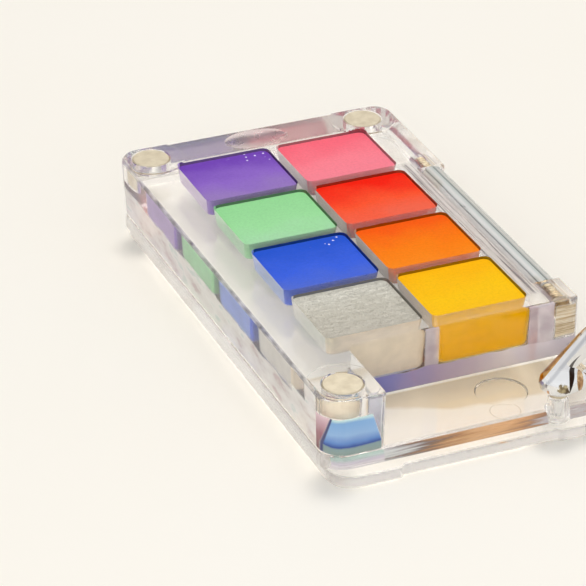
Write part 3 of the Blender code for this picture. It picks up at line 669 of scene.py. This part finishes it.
def hook_chrome(name, finish):
    """Polished hook with painted reflections: a pale patch on its nose in place of a highlight, gold and
    grey streaks, an olive spot, and the dark loop and brown floor mirrored beside its nose.
    """
    mm = 1000.0
    nose_top = Vector((POST.x, POST.y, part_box("hook_body")[1].z))
    s = Shading(name)
    x, y, z = s.axes(s.place)
    right, back, up = x - nose_top.x, y - nose_top.y, z - nose_top.z
    # the painted reflections are laid out in mm from the nose's middle: across runs level, along runs up
    # and back
    across = right * (0.919 * mm) - back * (0.394 * mm)
    along = right * (0.190 * mm) + back * (0.456 * mm) + up * (0.870 * mm)
    flank = along - across
    ragged = s.wander(s.noise(900.0, detail=3.0, rough=0.7), 1.1)
    nose = s.span(s.oval(across, along, centre=(0.5, -0.9), half=(2.5, 1.6)), 1.0, 0.0, 0.7, 1.5)
    spot = s.oval(across, along, centre=(0.8, -2.9), half=(1.1, 0.9)) + ragged
    leaf = s.oval(across, along, centre=(3.9, -1.2), half=(0.62, 2.1))

    drawn = s.noise(500.0, detail=4.0, rough=0.6)
    gold = s.ramp(drawn, [(0.35, rgb(168, 118, 56)), (0.55, rgb(206, 160, 92)), (0.7, rgb(232, 200, 146))])
    olive = s.ramp(drawn, [(0.4, rgb(92, 78, 62)), (0.56, rgb(190, 176, 140))])
    streaks = s.ramp(s.noise(700.0, detail=4.0, rough=0.6, stretch=(1.0, 1.0, 0.4)),
                     [(0.35, rgb(120, 84, 58)), (0.55, rgb(186, 148, 108)), (0.7, rgb(222, 198, 160))])
    # painted reflections: where each mask is 1, its colour replaces the chrome's
    marks = (
        (nose, rgb(226, 228, 230)),
        (s.band(flank, 2.15, 3.5, soft=0.12), gold),
        (s.band(flank, 0.1, 1.0, soft=0.3), rgb(196, 198, 202)),
        (s.band(spot, -1.0, 1.0, soft=0.25), olive),
        (s.below(leaf, 1.0, soft=0.15), streaks),
        (dark_crescent(s, across, along), rgb(44, 30, 24)),
    )
    color = plating(s, *finish)
    for mask, mark in marks:
        color = s.blend(mask, color, mark)
    # the nose's pale patch isn't metallic, so no highlight shows there
    s.look(Base_Color=color, Metallic=1.0 - nose, Specular_IOR_Level=0.0)
    return s.mat


# ---------------------------------------------------------------- faces of the CAD nodes

SQUARELY = 0.7          # a face looks along an axis when this much of its normal does
ROUGHLY = 0.3           # the same for a face that is part of a rounding
LEVEL = 0.99            # the same for a flat top
SIDE_REACH = 0.0012     # how far in from the side or the front a face may lie and still belong to it
EDGE_REACH = 0.0010     # how far in from the side the rounding along the slab's top goes
ROUNDED_EDGE = 0.0008   # height of that rounding


def on_arm_front(face, centre):
    back = ARM_MAGNET.y + 0.0007
    top = TRAY_TOP - 0.0011
    bore = MAGNET_RADIUS + 0.0006
    from_magnet = math.hypot(centre.x - ARM_MAGNET.x, centre.y - ARM_MAGNET.y)
    upright = abs(face.normal.z) < 0.5
    return upright and from_magnet > bore and centre.y < back and centre.z < top


def on_slab_front(face, centre):
    return abs(centre.y - SLAB_FRONT) < SIDE_REACH and face.normal.y < -SQUARELY


def on_tray_top(face, centre):
    return abs(centre.z - TRAY_TOP) < 0.0001 and face.normal.z > LEVEL


def on_left_edge(face, centre):
    slanted = 0.2 < face.normal.z < 0.97 and face.normal.x < -0.2
    return slanted and centre.x < LEFT + EDGE_REACH and centre.z > TRAY_TOP - ROUNDED_EDGE


def on_left_face(face, centre):
    below_edge = centre.z < TRAY_TOP - ROUNDED_EDGE
    return below_edge and centre.x < LEFT + SIDE_REACH and face.normal.x < -SQUARELY


def in_scoop(face, centre):
    deepest, shallowest, half_length = 0.0020, 0.00005, 0.0076
    dished = shallowest < TRAY_TOP - centre.z < deepest
    return dished and centre.y > SCOOP_FRONT and abs(centre.x - SCOOP_MIDDLE) < half_length


def on_floor_top(face, centre):
    rounding = 0.0004
    return centre.z > PLATE_HIGH.z - rounding and face.normal.z > SQUARELY


def on_floor_front(face, centre):
    rounding = 0.0018
    above_ledge = centre.z > LEDGE_TOP + 0.0001
    return above_ledge and centre.y < FLOOR_FRONT + rounding and face.normal.y < -ROUGHLY


def on_barrel_outside(face, centre):
    bore = 0.0024
    from_axis = math.hypot(centre.x - HINGE.x, centre.z - HINGE.z)
    return from_axis > bore and centre.z > PIN_LOW.z


def on_disc_side(face, centre):
    return abs(face.normal.z) < ROUGHLY


def assign(node, mat):
    """Gives a whole CAD node a material."""
    for slot in NODES[node].material_slots:
        slot.material = mat


def facing(node, chosen, mat):
    """Gives a material to the faces of a CAD node that the test chooses."""
    mesh = NODES[node].data
    mesh.materials.append(mat)
    for face in mesh.polygons:
        if chosen(face, face.center):
            face.material_index = len(mesh.materials) - 1


# ---------------------------------------------------------------- clear pieces

ACRYLIC = clear_acrylic("clear_acrylic")
for node in ("base_plate", "hinge_barrel", "pan_tray", "hook_post"):
    assign(node, ACRYLIC)
    weighted = NODES[node].modifiers.new("flat faces stay flat", "WEIGHTED_NORMAL")
    weighted.keep_sharp = True


# ---------------------------------------------------------------- cakes of paint and their wells

# cakes that get painted glints
GLOSSY = ("purple", "blue")
SOFT_SHINE = ("purple", "mint", "blue", "pink")
# painted reflections that the acrylic shows: lavender in the right-hand wells, blue under the left-hand
# ones
LAVENDER_REFLECTION = rgb(238, 228, 246)
BLUE_REFLECTION = rgb(176, 190, 255)

# each cake's colour at its front, in its middle and at its back; a paler front is a painted sheen
PAINTS = {
    "purple": (rgb(150, 120, 192), rgb(140, 98, 200), rgb(112, 60, 182)),
    "mint": (rgb(166, 222, 172), rgb(156, 224, 158), rgb(148, 218, 150)),
    "blue": (rgb(72, 104, 214), rgb(42, 92, 226), rgb(4, 78, 208)),
    "silver": (rgb(203, 199, 188), rgb(213, 210, 198), rgb(224, 222, 211)),
    "pink": (rgb(250, 132, 150), rgb(254, 128, 144), rgb(252, 104, 124)),
    "red": (rgb(246, 104, 76), rgb(254, 84, 44), rgb(248, 30, 4)),
    "orange": (rgb(254, 138, 18), rgb(254, 128, 4), rgb(250, 94, 8)),
    "yellow": (rgb(254, 198, 18), rgb(255, 200, 10), rgb(255, 188, 4)),
}
# paint on the left wall of each well, paler than its cake by a painted reflection,
# and on the front walls that differ from their cake
LEFT_WALLS = {
    "purple": rgb(206, 178, 236),
    "mint": rgb(182, 244, 190),
    "blue": rgb(150, 176, 255),
    "silver": rgb(250, 246, 238),
    "pink": rgb(238, 204, 208),
    "red": rgb(228, 182, 168),
    "orange": rgb(228, 188, 156),
    "yellow": rgb(230, 202, 162),
}
FRONT_WALLS = {"silver": rgb(240, 226, 202), "yellow": rgb(255, 194, 0)}


def bond_well(color, paint):
    """Gives each side of the well round a cake its own material."""
    low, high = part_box("paint_" + color)
    in_right_column = low.x > 0
    # painted shade: a darker copy of the paint along the top of the back and right walls
    rim_shade = shade(paint, 0.3)
    walls = (
        # side, the way it faces, colour, how clear, colour of its painted rim shade
        ("right", Vector((-1, 0, 0)), LAVENDER_REFLECTION if in_right_column else paint, 0.3, rim_shade),
        ("back", Vector((0, -1, 0)), paint, 0.25, rim_shade),
        ("left", Vector((1, 0, 0)), LEFT_WALLS[color], 0.2, None),
        ("front", Vector((0, 1, 0)), FRONT_WALLS.get(color, paint), 0.08, None),
    )

    def in_well(centre):
        return all(low[k] - WELL_REACH < centre[k] < high[k] + WELL_REACH for k in range(3))

    def on_well_floor(face, centre):
        return in_well(centre) and face.normal.z > SQUARELY and centre.z < low.z + WELL_REACH

    for side, normal, wall_color, clear, rim_shade_color in walls:
        def on_wall(face, centre):
            return in_well(centre) and face.normal.dot(normal) > 0.5
        facing("pan_tray", on_wall, bonded_wall(f"well_{side}_{color}", wall_color, clear, rim_shade_color))
    # a well's floor, seen from below: half its paint's colour, half a painted reflection
    paint_and_reflection = between(paint, LAVENDER_REFLECTION if in_right_column else BLUE_REFLECTION, 0.5)
    facing("pan_tray", on_well_floor, bonded_wall("well_floor_" + color, paint_and_reflection, 0.2))


def paint_cake(color, shades):
    name = "watercolour_" + color
    centre = middle("paint_" + color)
    if color == "silver":
        return glitter_paint(name, centre, shades)
    shine = 0.2 if color in SOFT_SHINE else 0.05
    return watercolour(name, centre, shades, shine, glints=color in GLOSSY)


for color, shades in PAINTS.items():
    assign("paint_" + color, paint_cake(color, shades))
    bond_well(color, shades[1])


# ---------------------------------------------------------------- clear faces with painted reflections, light and shadows

facing("hinge_barrel", on_barrel_outside, barrel_painted_lines("barrel_painted_lines"))
facing("pan_tray", on_slab_front, slab_front("slab_front"))
facing("pan_tray", on_tray_top, tray_top("tray_top"))
facing("pan_tray", on_left_face, left_face("left_face"))
facing("pan_tray", on_left_edge, painted_edge_line("painted_edge_line"))
facing("pan_tray", in_scoop, scoop_face("scoop_face"))
facing("pan_tray", on_arm_front, arm_window("arm_window"))
facing("base_plate", on_floor_top, mixing_floor("mixing_floor"))
facing("base_plate", on_floor_front, floor_front("floor_front"))


# ---------------------------------------------------------------- metal pieces

# colour, darker colour, lowest and highest roughness, and the marks' scale where it isn't the usual one
BRIGHTENED_NICKEL_FINISH = (rgb(234, 222, 200), rgb(216, 200, 176), 0.4, 0.55, 300.0)
NICKEL_FINISH = (rgb(220, 211, 190), rgb(202, 192, 170), 0.42, 0.6)
CHROME_FINISH = (rgb(236, 236, 236), rgb(226, 226, 228), 0.05, 0.12, 200.0)
STEEL_FINISH = (rgb(186, 186, 188), rgb(160, 160, 164), 0.2, 0.35)

# the magnets' round sides: a paler, almost plain copy of the nickel, painted light so that they look lit
BRIGHTENED_NICKEL = plated("brightened_nickel", BRIGHTENED_NICKEL_FINISH, metallic=0.1)
NICKEL = plated("satin_nickel", NICKEL_FINISH)
for magnet in ("magnet_back_left", "magnet_back_right", "magnet_front_left"):
    assign(magnet, NICKEL)
    facing(magnet, on_disc_side, BRIGHTENED_NICKEL)
BRASS = threaded_brass("threaded_brass")
CHROME = plated("polished_chrome", CHROME_FINISH)
STEEL = plated("spring_steel", STEEL_FINISH)
METALS = {
    "hinge_pin_back": BRASS,
    "hinge_pin_front": BRASS,
    "hook_washer": NICKEL,
    "hook_gate": CHROME,
    "hook_pivot": CHROME,
    "hook_body": hook_chrome("hook_chrome", CHROME_FINISH),
    "gate_pin": STEEL,
    "gate_spring": STEEL,
}
for node, metal in METALS.items():
    assign(node, metal)


# ---------------------------------------------------------------- floor, light, camera

def seen_directly(nodes, kind):
    """1 for rays of a kind that haven't yet met a rough surface."""
    path = nodes.add("ShaderNodeLightPath").outputs
    direct = nodes.math("LESS_THAN", path["Diffuse Depth"], 0.5)
    return nodes.math("MULTIPLY", path[kind], direct)


def floor_paper():
    """Warm paper, a little paler where it is seen through clear acrylic."""
    paleness = 0.55
    s = Shading("floor_paper")
    s.look(Base_Color=s.ramp(s.noise(6.0), [(0.3, rgb(250, 246, 236)), (0.7, rgb(251, 248, 240))]),
           Roughness=0.8,
           Specular_IOR_Level=0.2)
    pale = s.add("ShaderNodeEmission")
    pale.inputs["Color"].default_value = rgb(246, 241, 232)
    through = seen_directly(s, "Is Transmission Ray") * paleness
    s.link(s.mix(through, s.shader.outputs["BSDF"], pale.outputs["Emission"]), s.output.inputs["Surface"])
    return s.mat


def build_floor():
    half = 3.0
    below_plate = 0.0001
    mesh = bpy.data.meshes.new("floor")
    corners = [(-half, -half, 0), (half, -half, 0), (half, half, 0), (-half, half, 0)]
    mesh.from_pydata(corners, [], [(0, 1, 2, 3)])
    mesh.materials.append(floor_paper())
    floor = bpy.data.objects.new("floor", mesh)
    floor.location.z = -below_plate
    bpy.context.collection.objects.link(floor)


def area_light(name, location, size, power, color, mirrored=True):
    """Round lamp aimed at the middle of the floor. One that isn't mirrored leaves no highlights."""
    lamp = bpy.data.lights.new(name, "AREA")
    lamp.shape = "DISK"
    lamp.size = size
    lamp.energy = power
    lamp.color = color
    obj = bpy.data.objects.new(name, lamp)
    obj.location = location
    obj.rotation_euler = (-Vector(location)).to_track_quat("-Z", "Y").to_euler()
    obj.visible_glossy = mirrored
    bpy.context.collection.objects.link(obj)


def build_world():
    """Even light for the object. Mirrored and clear faces show a pale room, brown low down, whose far side
    is blue through the clear ones."""
    daylight = (0.98, 0.98, 1.0, 1.0)
    strength_on_object = 0.62
    world = bpy.data.worlds.new("studio")
    bpy.context.scene.world = world
    world.use_nodes = True
    room = Nodes(world.node_tree)

    def background(color, strength=1.0):
        node = room.add("ShaderNodeBackground")
        room.link(color, node.inputs["Color"])
        room.link(strength, node.inputs["Strength"])
        return node.outputs["Background"]

    _, y, lift = room.axes(room.add("ShaderNodeTexCoord").outputs["Generated"])
    far_side = room.ramp(room.share(y, -1.0, 1.0), [(0.35, BLACK), (0.65, WHITE)])
    through_far = room.ramp(lift, [(0.0, rgb(240, 232, 220)), (0.22, rgb(200, 196, 216)),
                                   (0.45, rgb(158, 180, 222)), (0.62, rgb(214, 220, 236)),
                                   (0.75, rgb(252, 251, 249))])
    through_near = room.ramp(lift, [(0.0, rgb(226, 214, 196)), (0.12, rgb(156, 124, 96)),
                                    (0.3, rgb(200, 186, 170)), (0.5, rgb(250, 248, 244))])
    shine_far = room.ramp(lift, [(0.0, rgb(236, 222, 200)), (0.2, rgb(214, 186, 142)),
                                 (0.36, rgb(232, 230, 228)), (0.7, rgb(252, 252, 252))])
    shine_near = room.ramp(lift, [(0.0, rgb(190, 160, 120)), (0.16, rgb(126, 92, 62)),
                                  (0.4, rgb(196, 186, 176)), (0.6, rgb(250, 250, 250))])
    through = room.mix(far_side, background(through_near), background(through_far))
    shine = room.mix(far_side, background(shine_near), background(shine_far))

    total = background(daylight, strength_on_object)
    total = room.mix(seen_directly(room, "Is Transmission Ray"), total, through)
    total = room.mix(seen_directly(room, "Is Glossy Ray"), total, shine)
    at_camera = room.add("ShaderNodeLightPath").outputs["Is Camera Ray"]
    total = room.mix(at_camera, total, background(rgb(250, 247, 240)))
    room.link(total, room.tree.nodes["World Output"].inputs["Surface"])


def build_camera():
    """Camera as solved from the regular grid of the wells: where it stands and which way its axes point."""
    eye = Vector((-0.23424, -0.50729, 0.32414))
    right = Vector((0.919, -0.394216, 0.005667))
    up = Vector((0.190157, 0.455796, 0.869534))
    back = Vector((-0.345368, -0.798025, 0.49384))
    camera = bpy.data.cameras.new("camera")
    camera.sensor_width = 36.0
    camera.lens = 197.2777
    camera.clip_start = 0.05
    camera.clip_end = 10.0
    obj = bpy.data.objects.new("camera", camera)
    bpy.context.collection.objects.link(obj)
    obj.matrix_world = Matrix.Translation(eye) @ Matrix((right, up, back)).transposed().to_4x4()
    bpy.context.scene.camera = obj


build_floor()
build_world()
area_light("key", location=(0.30, 0.36, 1.15), size=0.35, power=4.0, color=(1.0, 0.96, 0.9))
area_light("front_fill", location=(-0.55, -1.0, 0.65), size=0.8, power=6.0, color=(1.0, 0.99, 0.97),
           mirrored=False)
build_camera()

LIGHT_BOUNCES = 48      # enough for light to pass all the clear walls that lie behind each other
scene = bpy.context.scene
scene.view_settings.view_transform = "Standard"
scene.cycles.max_bounces = LIGHT_BOUNCES
scene.cycles.glossy_bounces = LIGHT_BOUNCES
scene.cycles.transmission_bounces = LIGHT_BOUNCES
